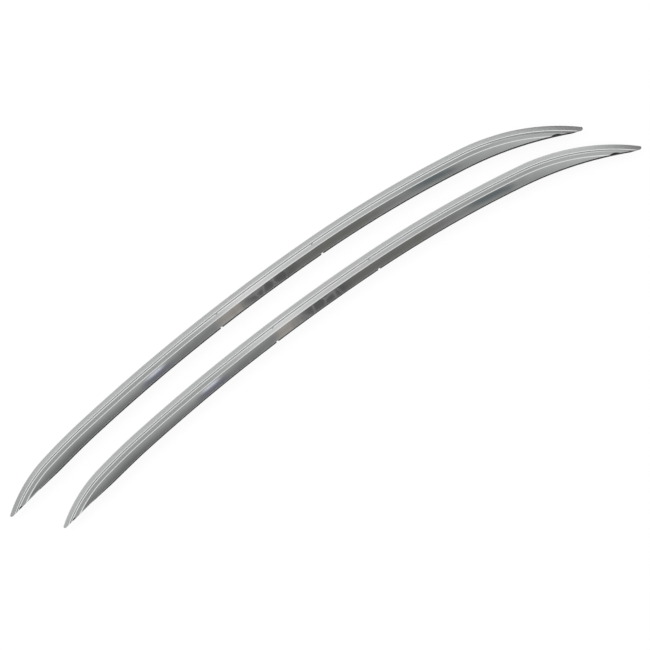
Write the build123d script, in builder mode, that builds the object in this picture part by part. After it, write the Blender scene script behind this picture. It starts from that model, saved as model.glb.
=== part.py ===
from build123d import *
import os
from math import acos, atan2, cos, degrees, radians, sin, sqrt, tan

os.makedirs("parts", exist_ok=True)

# A pair of roof side rails, lying on one flank as they are laid out before fitting.
# Each rail is one bent extrusion that arches in the XY plane, with its foot towards -Y.
# Sizes are in millimetres, angles in degrees.

# Arch of the foot line, seen square on to the flank, from the crest outwards
roof_radius = 4680.0
roof_turn = 8.3
rear_shoulder_radius = 1515.0
rear_shoulder_turn = 4.6
rear_bend_radius = 307.0
rear_bend_turn = 27.0
front_shoulder_radius = 2860.0
front_shoulder_turn = 7.8
front_bend_radius = 477.0
front_bend_turn = 36.0

# Roof line that trims both bent ends down to a nose
rear_cut_angle = 10.7
front_cut_angle = 24.3
front_run_spare = 14.3
rear_nose_angle = 35.2
front_nose_angle = 36.8
rear_nose_radius = 4.0
front_nose_radius = 5.0

# Section of the bar: heights above the foot, half widths from the middle
bar_width = 37.0
bar_height = 46.0
crease_height = 20.4
crease_chamfer = 1.1
lower_lip_height = 29.7
lower_lip_half_width = 14.2
upper_lip_height = 35.5
upper_lip_half_width = 11.0
lower_mouth_height = 31.2
lower_mouth_half_width = 12.4
upper_mouth_height = 33.9
upper_mouth_half_width = 11.4
groove_depth = 1.6
crown_radius = 4.5
skin = 1.7

# T-slot in the foot
foot_thickness = 3.2
channel_width = 19.0
channel_height = 7.0
channel_wall = 2.0
slot_width = 9.0

# Foot seal, with distances along the foot from the rear nose
seal_thickness = 2.3
seal_inset = 0.5
seal_gap = 6.0
seal_gap_distances = (654.0, 944.0)
seal_rear_end = 88.0
seal_front_end = 6.0

# Fixings along the T-slot
fixing_distances = (240.0, 799.0, 1300.0)
nut_length = 30.0
nut_thickness = 5.0
thread_drill = 5.0
spring_length = 10.0
spring_width = 12.0
spring_thickness = 0.5
pad_length = 24.0
pad_width = 22.0
pad_bore = 8.0

# Locating notches in the grooves, drain notches beside the noses, and end plugs
notch_length = 5.0
notch_height = 1.6
notch_distances = (664.0, 936.0)
drain_radius = 8.0
drain_depth = 3.0
rear_drain_distance = 28.0
front_drain_distance = 54.0
plug_insertion = 25.0

# How the pair lies
rail_spacing = 103.3
rail_stagger = 89.7
rail_splay = 0.78
rail_turn = 0.28

# Fits
slide_clearance = 0.3
seat_clearance = 0.05

half_width = bar_width / 2
trim_stock = seal_thickness + groove_depth
trim_reach = 8 * bar_height


# Points and angles of the arch

def heading(angle):
    """Unit vector along the foot line at an angle."""
    return Vector(cos(radians(angle)), sin(radians(angle)))


def outward(angle):
    """Unit vector from the foot to the crown where the foot line has an angle."""
    return Vector(-sin(radians(angle)), cos(radians(angle)))


def arc_end(start, angle, radius, turn):
    """Far end of an arc that leaves a point at an angle and turns downwards."""
    return start + radius * (outward(angle - turn) - outward(angle))


def arc_start(end, angle, radius, turn):
    """Near end of an arc that comes to a point at an angle."""
    return end - radius * (outward(angle) - outward(angle + turn))


def crossing(first, first_angle, second, second_angle):
    """Point where two lines cross."""
    across = outward(second_angle)
    reach = (second - first).dot(across) / heading(first_angle).dot(across)
    return first + reach * heading(first_angle)


crest = Vector(0, 0)
roof_start = arc_start(crest, 0, roof_radius, roof_turn)
shoulder_start = arc_start(roof_start, roof_turn, rear_shoulder_radius, rear_shoulder_turn)
rear_bend_angle = roof_turn + rear_shoulder_turn
spine_angle = rear_bend_angle + rear_bend_turn
spine_start = arc_start(shoulder_start, rear_bend_angle, rear_bend_radius, rear_bend_turn)
front_bend_start = arc_end(crest, 0, front_shoulder_radius, front_shoulder_turn)

cut_turn = rear_cut_angle - roof_turn
cut_start = arc_start(roof_start, roof_turn, rear_shoulder_radius, cut_turn)
rear_nose_foot = arc_start(
    shoulder_start, rear_bend_angle, rear_bend_radius, rear_nose_angle - rear_bend_angle
)
rear_crown = rear_nose_foot + bar_height * outward(rear_nose_angle)
rear_corner = crossing(cut_start, rear_cut_angle, rear_crown, rear_nose_angle)
front_nose_foot = arc_end(
    front_bend_start, -front_shoulder_turn, front_bend_radius, front_nose_angle - front_shoulder_turn
)
front_crown = front_nose_foot + bar_height * outward(-front_nose_angle)

# Where the rounding of each nose starts on the foot line, from the sharp corner
rear_nose_start = rear_nose_radius / tan(radians((rear_nose_angle - rear_cut_angle) / 2))
front_nose_start = front_nose_radius / tan(radians((front_nose_angle - front_cut_angle) / 2))

# The front cut is an arc from where the front bend starts, and a straight run up to the crown's tangent
front_wedge = radians(front_nose_angle - front_cut_angle)
front_run = front_nose_start + seal_front_end + front_run_spare
crown_rise = (front_crown - front_bend_start).dot(outward(-front_nose_angle))
arc_rise = cos(front_wedge) - cos(radians(front_nose_angle - front_shoulder_turn))
front_cut_radius = (crown_rise - front_run * sin(front_wedge)) / arc_rise
front_cut_turn = front_cut_angle - front_shoulder_turn
cut_end = arc_end(front_bend_start, -front_shoulder_turn, front_cut_radius, front_cut_turn)
front_corner = cut_end + front_run * heading(-front_cut_angle)

arch_plane = Plane.XY.offset(half_width)


def foot_line(drop=0.0, rear_end=0.0, front_end=0.0):
    """Roof line from end to end, dropped by a distance and shortened at its ends."""
    start = rear_corner + rear_end * heading(rear_cut_angle) - drop * outward(rear_cut_angle)
    finish = front_corner - front_end * heading(-front_cut_angle) - drop * outward(-front_cut_angle)
    rear = Line(start, cut_start - drop * outward(rear_cut_angle))
    shoulder = JernArc(rear @ 1, rear % 1, rear_shoulder_radius - drop, -cut_turn)
    roof = JernArc(shoulder @ 1, shoulder % 1, roof_radius - drop, -roof_turn)
    front = JernArc(roof @ 1, roof % 1, front_shoulder_radius - drop, -front_shoulder_turn)
    cut = JernArc(front @ 1, front % 1, front_cut_radius - drop, -front_cut_turn)
    Line(cut @ 1, finish)
    return start, finish


def spine_line():
    """Path of the bent extrusion, which runs on past both noses."""
    rear = JernArc(spine_start, heading(spine_angle), rear_bend_radius, -rear_bend_turn)
    shoulder = JernArc(rear @ 1, rear % 1, rear_shoulder_radius, -rear_shoulder_turn)
    roof = JernArc(shoulder @ 1, shoulder % 1, roof_radius, -roof_turn)
    front = JernArc(roof @ 1, roof % 1, front_shoulder_radius, -front_shoulder_turn)
    JernArc(front @ 1, front % 1, front_bend_radius, -front_bend_turn)


def section_at(point, angle):
    """Section plane across the bar: X over its width, Y from foot to crown."""
    lifted = Vector(point.X, point.Y, half_width)
    return Plane(origin=lifted, x_dir=(0, 0, -1), z_dir=heading(angle))


with BuildLine() as foot_cut:
    foot_line()
foot_wire = foot_cut.wires()[0]


def station(distance):
    """Section plane at a distance along the foot from where the rear nose starts."""
    along = rear_nose_start + distance
    spot = foot_wire.position_at(along, position_mode=PositionMode.LENGTH)
    ahead = foot_wire.tangent_at(along, position_mode=PositionMode.LENGTH)
    return section_at(spot, degrees(atan2(ahead.Y, ahead.X)))


fixings = [station(distance) for distance in fixing_distances]


# Sections of the bar, its chamber and what fills it

lower_lip = Vector(lower_lip_half_width, lower_lip_height)
upper_lip = Vector(upper_lip_half_width, upper_lip_height)
groove_low = Vector(lower_mouth_half_width, lower_mouth_height)
groove_high = Vector(upper_mouth_half_width, upper_mouth_height)
mouth_run = (groove_high - groove_low).normalized()
into_groove = groove_depth * Vector(-mouth_run.Y, mouth_run.X)

# The crown is an arc that the band above the groove runs into
crown_centre = Vector(0, bar_height - crown_radius)
to_lip = upper_lip - crown_centre
touch_angle = degrees(atan2(to_lip.Y, to_lip.X) + acos(crown_radius / to_lip.length))
crown_touch = crown_centre + crown_radius * heading(touch_angle)
crown_ends = (crown_touch, Vector(-crown_touch.X, crown_touch.Y))

flank_outline = [(0, -trim_stock), (half_width, -trim_stock), (half_width, crease_height)]

# Plain outline, with no groove and a flat crown
with BuildSketch() as hull:
    with BuildLine():
        Polyline(*flank_outline, upper_lip, crown_touch)
        mirror(about=Plane.YZ)
        Line(*crown_ends)
    make_face()

# Hollow round the T-slot, under a skin that the groove doesn't break through
with BuildSketch() as chamber:
    add(hull.sketch)
    offset(amount=-(skin + groove_depth), kind=Kind.INTERSECTION, mode=Mode.REPLACE)
    box_height = foot_thickness + channel_height + channel_wall
    with Locations((0, -trim_stock)):
        box_size = (channel_width + 2 * channel_wall, trim_stock + box_height)
        Rectangle(*box_size, align=(Align.CENTER, Align.MIN), mode=Mode.SUBTRACT)
        floor_size = (bar_width, trim_stock + foot_thickness)
        Rectangle(*floor_size, align=(Align.CENTER, Align.MIN), mode=Mode.SUBTRACT)

# The whole extrusion: lips, groove, chamber and T-slot
with BuildSketch() as bar_section:
    with BuildLine():
        groove = [groove_low, groove_low + into_groove, groove_high + into_groove, groove_high]
        Polyline(*flank_outline, lower_lip, *groove, upper_lip, crown_touch)
        mirror(about=Plane.YZ)
        ThreePointArc(crown_ends[0], (0, bar_height), crown_ends[1])
    make_face()
    creases = bar_section.vertices().filter_by_position(Axis.Y, crease_height, crease_height)
    chamfer(creases, crease_chamfer)
    add(chamber.sketch, mode=Mode.SUBTRACT)
    with Locations((0, -trim_stock)):
        slot_size = (slot_width, trim_stock + foot_thickness)
        Rectangle(*slot_size, align=(Align.CENTER, Align.MIN), mode=Mode.SUBTRACT)
    with Locations((0, foot_thickness)):
        channel_size = (channel_width, channel_height)
        Rectangle(*channel_size, align=(Align.CENTER, Align.MIN), mode=Mode.SUBTRACT)

with BuildSketch() as plug_section:
    add(chamber.sketch)
    offset(amount=-slide_clearance, kind=Kind.INTERSECTION, mode=Mode.REPLACE)

with BuildSketch() as seal_section:
    add(hull.sketch)
    offset(amount=-seal_inset, kind=Kind.INTERSECTION, mode=Mode.REPLACE)

# Side view of everything above the roof line, with a rounded nose at each end
with BuildSketch() as trim_outline:
    with BuildLine():
        rear_foot, front_foot = foot_line()
        front_top = front_corner + trim_reach * heading(180 - front_nose_angle)
        rear_top = rear_corner + trim_reach * heading(rear_nose_angle)
        Polyline(front_foot, front_top, rear_top, rear_foot)
    make_face()
    fillet(trim_outline.vertices().sort_by(Axis.X)[0], rear_nose_radius)
    fillet(trim_outline.vertices().sort_by(Axis.X)[-1], front_nose_radius)

# Side view of the seal under the roof line
with BuildSketch() as seal_outline:
    with BuildLine():
        ends = (rear_nose_start + seal_rear_end, front_nose_start + seal_front_end)
        upper_rear, upper_front = foot_line(0, *ends)
        lower_rear, lower_front = foot_line(seal_thickness, *ends)
        Line(upper_rear, lower_rear)
        Line(upper_front, lower_front)
    make_face()


# One rail, piece by piece

with BuildPart() as rail_bar:
    with BuildLine(arch_plane):
        spine_line()
    with BuildSketch(section_at(spine_start, spine_angle)):
        add(bar_section.sketch)
    sweep()
    with BuildSketch(arch_plane):
        add(trim_outline.sketch)
    extrude(amount=bar_width, both=True, mode=Mode.INTERSECT)
    for distance in notch_distances:
        with Locations(station(distance)):
            notch_middle = (lower_mouth_half_width + half_width, (lower_lip_height + lower_mouth_height) / 2)
            with Locations(notch_middle, (-notch_middle[0], notch_middle[1])):
                Box(bar_width, notch_height, notch_length, mode=Mode.SUBTRACT)
    foot_length = foot_wire.length - rear_nose_start - front_nose_start
    for distance in (rear_drain_distance, foot_length - front_drain_distance):
        with Locations(station(distance)):
            with Locations((0, drain_depth - drain_radius)):
                Cylinder(drain_radius, 2 * bar_width, rotation=(0, 90, 0), mode=Mode.SUBTRACT)

with BuildPart() as rear_plug:
    with BuildLine(arch_plane):
        JernArc(spine_start, heading(spine_angle), rear_bend_radius, -rear_bend_turn)
    with BuildSketch(section_at(spine_start, spine_angle)):
        add(plug_section.sketch)
    sweep()
    with BuildSketch(arch_plane):
        add(trim_outline.sketch)
    extrude(amount=bar_width, both=True, mode=Mode.INTERSECT)

# The front plug starts a little behind the place where the roof line opens the chamber
opening_run = sqrt(2 * foot_thickness / (1 / front_bend_radius - 1 / front_cut_radius))
front_plug_turn = degrees((opening_run - plug_insertion) / front_bend_radius)
front_plug_angle = -front_shoulder_turn - front_plug_turn
front_plug_start = arc_end(
    front_bend_start, -front_shoulder_turn, front_bend_radius, front_plug_turn
)

with BuildPart() as front_plug:
    with BuildLine(arch_plane):
        plug_turn = front_bend_turn - front_plug_turn
        JernArc(front_plug_start, heading(front_plug_angle), front_bend_radius, -plug_turn)
    with BuildSketch(section_at(front_plug_start, front_plug_angle)):
        add(plug_section.sketch)
    sweep()
    with BuildSketch(arch_plane):
        add(trim_outline.sketch)
    extrude(amount=bar_width, both=True, mode=Mode.INTERSECT)

with BuildPart() as seal_strip:
    with BuildLine(arch_plane):
        spine_line()
    with BuildSketch(section_at(spine_start, spine_angle)):
        add(seal_section.sketch)
    sweep()
    with BuildSketch(arch_plane):
        add(seal_outline.sketch)
    extrude(amount=bar_width, both=True, mode=Mode.INTERSECT)
    for distance in seal_gap_distances:
        with Locations(station(distance)):
            Box(2 * bar_width, 4 * seal_thickness, seal_gap, mode=Mode.SUBTRACT)
    for fixing in fixings:
        with Locations(fixing):
            window = (pad_width + 2 * slide_clearance, 4 * seal_thickness, pad_length + 2 * slide_clearance)
            Box(*window, mode=Mode.SUBTRACT)

with BuildPart() as slot_nuts:
    for fixing in fixings:
        with Locations(fixing):
            with Locations((0, foot_thickness + seat_clearance + nut_thickness / 2)):
                Box(channel_width - 2 * slide_clearance, nut_thickness, nut_length)
    for fixing in fixings:
        with Locations(fixing):
            drill_size = (thread_drill / 2, 2 * bar_height)
            Cylinder(*drill_size, rotation=(90, 0, 0), mode=Mode.SUBTRACT)

with BuildPart() as nut_springs:
    for fixing in fixings:
        seat = foot_thickness + nut_thickness + 2 * seat_clearance
        rise = channel_height - nut_thickness - spring_thickness - 4 * seat_clearance
        behind = (nut_length - spring_length) / 2
        base = fixing.from_local_coords((0, seat, -behind))
        with BuildSketch(Plane(origin=base, x_dir=fixing.z_dir, z_dir=(0, 0, 1))):
            with BuildLine():
                bend = [(-spring_length / 2, 0), (0, rise), (spring_length / 2, 0)]
                Polyline(*bend, *[(x, y + spring_thickness) for x, y in reversed(bend)], close=True)
            make_face()
        extrude(amount=spring_width / 2, both=True)

with BuildPart() as bolt_pads:
    for fixing in fixings:
        with Locations(fixing):
            with Locations((0, -seat_clearance - seal_thickness / 2)):
                Box(pad_width, seal_thickness, pad_length)
                Cylinder(pad_bore / 2, seal_thickness, rotation=(90, 0, 0), mode=Mode.SUBTRACT)

rear_seal, middle_seal, front_seal = seal_strip.part.solids().sort_by(Axis.X)

pieces = {
    "rail_bar": rail_bar.part,
    "rear_foot_seal": rear_seal,
    "middle_foot_seal": middle_seal,
    "front_foot_seal": front_seal,
    "rear_end_plug": rear_plug.part,
    "front_end_plug": front_plug.part,
    "slot_nuts": slot_nuts.part,
    "nut_springs": nut_springs.part,
    "bolt_pads": bolt_pads.part,
}


# The pair, with the middle of the space it takes up over the origin

def rail_place(side, middle=Vector(0, 0)):
    """Place of a rail: side is 1 for the left one and -1 for the right one."""
    crest_place = Vector(-side * rail_stagger / 2, side * rail_spacing / 2) - middle
    return Location(crest_place, (0, 0, side * rail_splay / 2 + rail_turn))


outline = [rail_bar.part, front_seal]
boxes = [piece.moved(rail_place(side)).bounding_box() for piece in outline for side in (1, -1)]
low_corner = Vector(min(box.min.X for box in boxes), min(box.min.Y for box in boxes))
high_corner = Vector(max(box.max.X for box in boxes), max(box.max.Y for box in boxes))
pair_middle = (low_corner + high_corner) / 2

for side_name, side in (("left", 1), ("right", -1)):
    for piece_name, piece in pieces.items():
        with BuildPart() as placed:
            add(piece.moved(rail_place(side, pair_middle)))
        placed.part.label = f"{side_name}_{piece_name}"
        export_step(placed.part, f"parts/{side_name}_{piece_name}.step")
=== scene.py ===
"""Dresses a packed pair of roof side rails, and sets the studio that they lie in."""

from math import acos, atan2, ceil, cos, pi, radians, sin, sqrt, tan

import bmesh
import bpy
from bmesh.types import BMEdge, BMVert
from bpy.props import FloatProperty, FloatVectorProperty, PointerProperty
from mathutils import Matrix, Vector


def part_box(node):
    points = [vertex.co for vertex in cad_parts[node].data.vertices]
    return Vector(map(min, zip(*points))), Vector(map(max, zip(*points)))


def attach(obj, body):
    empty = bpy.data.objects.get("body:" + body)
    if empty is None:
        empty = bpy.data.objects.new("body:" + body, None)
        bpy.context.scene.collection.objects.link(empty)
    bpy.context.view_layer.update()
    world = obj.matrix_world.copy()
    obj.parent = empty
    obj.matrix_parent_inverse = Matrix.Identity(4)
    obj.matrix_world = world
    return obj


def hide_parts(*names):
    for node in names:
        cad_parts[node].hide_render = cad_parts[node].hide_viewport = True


bl_info = {
    "name": "Roof Side Rail Pair",
    "version": (1, 0, 0),
    "blender": (4, 5, 0),
    "location": "View3D > Sidebar > Roof Rails",
    "description": "Finishes a pair of roof side rails and sets their studio",
    "category": "Object",
}

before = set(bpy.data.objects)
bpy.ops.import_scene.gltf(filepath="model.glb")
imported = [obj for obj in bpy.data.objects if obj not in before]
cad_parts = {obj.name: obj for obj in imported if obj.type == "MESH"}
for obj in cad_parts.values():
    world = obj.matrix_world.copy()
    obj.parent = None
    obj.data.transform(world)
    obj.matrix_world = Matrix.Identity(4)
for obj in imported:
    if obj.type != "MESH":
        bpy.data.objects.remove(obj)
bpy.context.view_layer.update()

MM = 0.001
SIDES = {"left": 1, "right": -1}

# Largest turn of one facet on each kind of arc
CROWN_FACET = radians(6.5)
NOSE_FACET = radians(6)
SWEEP_FACET = radians(0.8)
CUT_FACET = radians(0.33)
STRIP_FACET = radians(0.5)

# Edges that turn by more than this stay sharp
SHARP_TURN = radians(30)

# Distances under which points are the same, edges are slivers and cut points are welded
SAME = 1e-6
SLIVER = 1e-5
WELD = 2e-5

# Parts of a face's normal, and the fold of an edge, that tell the flanks from the sawn foot
LEVEL = 0.99
UPRIGHT = 0.01
FOOT_FOLD = 1.2
DOWNWARD = -0.6
FLAT = 0.99999


# Sizes and colours that a user would change


def length(name, description, millimetres):
    """A length property, with its default in millimetres."""
    metres = millimetres * MM
    return FloatProperty(name=name, description=description, default=metres, unit="LENGTH", precision=5)


def angle(name, description, in_degrees):
    """An angle property, with its default in degrees."""
    return FloatProperty(name=name, description=description, default=radians(in_degrees), subtype="ANGLE")


def colour(name, description, *default):
    """A colour property."""
    return FloatVectorProperty(
        name=name, description=description, subtype="COLOR", size=3, min=0, max=1, default=default
    )


def spot(name, description, *default):
    """A property for a point, with its default in metres."""
    return FloatVectorProperty(
        name=name, description=description, subtype="TRANSLATION", size=3, precision=5, default=default
    )


def amount(name, description, value):
    """A plain number property."""
    return FloatProperty(name=name, description=description, default=value, precision=4)


class RailArch(bpy.types.PropertyGroup):
    """Arcs of the foot line and of the roof line that trims it."""

    roof_radius: length("Roof radius", "Radius of the long arc behind the crest", 4680.0)
    roof_turn: angle("Roof turn", "Turn of the long arc behind the crest", 8.3)
    rear_shoulder_radius: length("Rear shoulder radius", "Radius between roof arc and rear bend", 1515.0)
    rear_shoulder_turn: angle("Rear shoulder turn", "Turn between roof arc and rear bend", 4.6)
    rear_bend_radius: length("Rear bend radius", "Radius of the rear end's bend", 307.0)
    rear_bend_turn: angle("Rear bend turn", "Turn of the rear end's bend", 27.0)
    front_shoulder_radius: length("Front shoulder radius", "Radius in front of the crest", 2860.0)
    front_shoulder_turn: angle("Front shoulder turn", "Turn in front of the crest", 7.8)
    front_bend_radius: length("Front bend radius", "Radius of the front end's bend", 477.0)
    front_bend_turn: angle("Front bend turn", "Turn of the front end's bend", 36.0)
    rear_cut_angle: angle("Rear cut angle", "Slope of the straight cut under the rear end", 10.7)
    front_cut_angle: angle("Front cut angle", "Slope of the straight cut under the front end", 24.3)
    front_run: length("Front run", "Straight end of the cut under the front end", 65.955)
    rear_nose_angle: angle("Rear nose angle", "Slope of the crown at the rear nose", 35.2)
    front_nose_angle: angle("Front nose angle", "Slope of the crown at the front nose", 36.8)
    rear_nose_radius: length("Rear nose radius", "Rounding of the rear nose", 4.0)
    front_nose_radius: length("Front nose radius", "Rounding of the front nose", 5.0)
    splay: angle("Splay", "Angle between the two rails as they lie", 0.78)
    turn: angle("Turn", "Mean turn of the two rails as they lie", 0.28)


class RailSection(bpy.types.PropertyGroup):
    """Section of the bar: heights above the foot, half widths from the middle."""

    width: length("Width", "Width over both flanks", 37.0)
    height: length("Height", "Height from foot to crown", 46.0)
    crease_height: length("Crease height", "Height of the crease on each flank", 20.4)
    crease_bevel: length("Crease bevel", "Run of the soft crease", 1.4)
    lower_lip_height: length("Lower lip height", "Height where the slanted band ends", 29.7)
    lower_lip_half_width: length("Lower lip half width", "Half width where the slanted band ends", 14.2)
    upper_lip_height: length("Upper lip height", "Height where the crown band starts", 35.5)
    upper_lip_half_width: length("Upper lip half width", "Half width where the crown band starts", 11.0)
    lower_mouth_height: length("Lower mouth height", "Height of the groove's lower edge", 31.2)
    lower_mouth_half_width: length("Lower mouth half width", "Half width at the groove's lower edge", 12.4)
    upper_mouth_height: length("Upper mouth height", "Height of the groove's upper edge", 33.9)
    upper_mouth_half_width: length("Upper mouth half width", "Half width at the groove's upper edge", 11.4)
    groove_depth: length("Groove depth", "Depth of the clamp groove", 1.6)
    lip_bevel: length("Lip bevel", "Run of the soft edge on each lip", 0.5)
    mouth_bevel: length("Mouth bevel", "Run of the soft edge at the groove's mouth", 0.2)
    crown_radius: length("Crown radius", "Rounding of the crown", 4.5)
    skin: length("Skin", "Least wall under the groove", 1.7)
    foot_thickness: length("Foot thickness", "Thickness of the foot beside the slot", 3.2)
    channel_width: length("Channel width", "Width of the nut channel", 19.0)
    channel_height: length("Channel height", "Height of the nut channel", 7.0)
    channel_wall: length("Channel wall", "Wall round the nut channel", 2.0)
    slot_width: length("Slot width", "Width of the slot in the foot", 9.0)
    foot_bevel: length("Foot bevel", "Run of the eased edge along the foot", 0.7)
    stock: length("Stock", "Part of the section under the foot that the cut takes off", 3.9)
    notch_length: length("Notch length", "Length of a locating notch", 5.0)
    notch_height: length("Notch height", "Height of a locating notch", 1.6)
    rear_notch: length("Rear notch", "Distance of the rear locating notch along the foot", 664.0)
    front_notch: length("Front notch", "Distance of the front locating notch along the foot", 936.0)
    drain_radius: length("Drain radius", "Radius of the drain notches", 8.0)
    drain_depth: length("Drain depth", "Depth of the drain notches", 3.0)
    rear_drain: length("Rear drain", "Distance of the rear drain notch from the rear nose", 28.0)
    front_drain: length("Front drain", "Distance of the front drain notch from the front nose", 59.0)
    front_drain_stretch: amount("Front drain stretch", "Front drain's length against the rear one's", 1.9)
    seal_thickness: length("Seal thickness", "Thickness of the foot seals", 2.3)
    rear_seal_taper: length("Rear seal taper", "Run over which the rear seals thin out", 60.0)
    front_seal_taper: length("Front seal taper", "Run over which the front seals thin out", 14.0)
    seal_edge: length("Seal edge", "Thickness left at the outer ends of the seals", 0.4)


class RailFinish(bpy.types.PropertyGroup):
    """Colours of the finishes."""

    aluminium: colour("Aluminium", "Anodised aluminium of the bars", 0.80, 0.81, 0.805)
    handled: colour("Handled aluminium", "Aluminium in soft patches of handling", 0.76, 0.775, 0.775)
    sawn: colour("Sawn aluminium", "Bare aluminium where the foot was cut", 0.62, 0.62, 0.61)
    # Darker than the bars' aluminium: painted shade in the recessed clamp groove
    groove: colour("Groove", "Dull metal in the clamp groove", 0.50, 0.51, 0.51)
    rubber: colour("Rubber", "Black rubber of the seals and pads", 0.022, 0.022, 0.024)
    plastic: colour("Plastic", "Black plastic of the end plugs", 0.034, 0.034, 0.036)
    zinc: colour("Zinc", "Zinc plate on the slot nuts", 0.62, 0.61, 0.57)
    spring: colour("Spring steel", "Bright steel of the nut springs", 0.42, 0.42, 0.43)


class RailStage(bpy.types.PropertyGroup):
    """Floor, light, camera and the cards that the metal mirrors."""

    focal_length: amount("Focal length", "Lens of the camera in millimetres", 200.0)
    camera_height: length("Camera height", "Height of the camera over the floor", 8400.0)
    camera_x: length("Camera X", "Place of the camera along the rails", 7.0)
    camera_y: length("Camera Y", "Place of the camera across the rails", -60.0)
    camera_turn: angle("Camera turn", "Turn of the camera about its own axis", -33.82)
    world_light: amount("World light", "Strength of the light from all round", 0.86)
    key_power: amount("Key power", "Power of the soft lamp in watts", 60.0)
    key_size: length("Key size", "Width of the soft lamp", 2500.0)
    key_place: spot("Key place", "Place of the soft lamp, which looks at the origin", -1.6, 2.2, 3.4)
    floor_glow: amount("Floor glow", "Share of the floor that shows as plain white", 0.88)
    ceiling_height: length("Ceiling height", "Height of the dark ceiling that the flanks show", 9600.0)
    ceiling_width: length("Ceiling width", "Width of the dark ceiling", 5000.0)
    wall_length: length("Wall length", "Length of the walls along the rails", 14000.0)
    wall_distance: length("Wall distance", "Distance of these walls from the middle", 6000.0)
    wall_height: length("Wall height", "Height of all the walls", 8600.0)
    strip_x: length("Strip X", "Place of the pale strip between the rails, along them", 95.0)
    strip_y: length("Strip Y", "Place of the pale strip between the rails, across them", 70.0)
    strip_height: length("Strip height", "Height of the pale strip between the rails", 42.0)
    tip_place: spot("Tip place", "Middle of the dark patch off the front noses", 0.95, 0.12, 0.0015)
    tip_length: length("Tip length", "Length of the dark patch off the front noses", 700.0)
    tip_width: length("Tip width", "Width of the dark patch off the front noses", 440.0)
    first_crest_x: length("First crest X", "Place of the left rail's crest, along the rails", 95.15)
    first_crest_y: length("First crest Y", "Place of the left rail's crest, across the rails", 82.5)
    halfway_y: length("Halfway Y", "Place of the line between the two flanks, across the rails", 37.5)
    halfway_bow: amount("Halfway bow", "Curve of the line between the two flanks", 0.14)
    bend_start: length("Bend start", "Distance from crest to front bend in the mirrored place", 400.0)
    bend_bow: amount("Bend bow", "Curve that the front bend adds to the mirrored place", 0.53)
    stagger: length("Stagger", "How far the right rail lies in front of the left one", 89.7)
    spacing: length("Spacing", "Distance between the two foot lines", 103.3)


class RailSettings(bpy.types.PropertyGroup):
    """All the settings of the add-on."""

    arch: PointerProperty(type=RailArch)
    section: PointerProperty(type=RailSection)
    finish: PointerProperty(type=RailFinish)
    stage: PointerProperty(type=RailStage)


# Arcs of the arch


def heading(slope):
    """Unit vector along the foot line where it has a slope."""
    return Vector((cos(slope), sin(slope), 0))


def outward(slope):
    """Unit vector from foot to crown where the foot line has a slope."""
    return Vector((-sin(slope), cos(slope), 0))


def arc_end(start, slope, radius, turn):
    """Far end of an arc that leaves a point and turns downwards."""
    return start + radius * (outward(slope - turn) - outward(slope))


def arc_start(end, slope, radius, turn):
    """Near end of an arc that comes to a point."""
    return end - radius * (outward(slope) - outward(slope + turn))


def crossing(first, first_slope, second, second_slope):
    """Point where two lines cross."""
    across = outward(second_slope)
    return first + heading(first_slope) * ((second - first).dot(across) / heading(first_slope).dot(across))


def lean(size, side):
    """Turn of one rail as it lies."""
    return SIDES[side] * size.splay / 2 + size.turn


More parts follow.
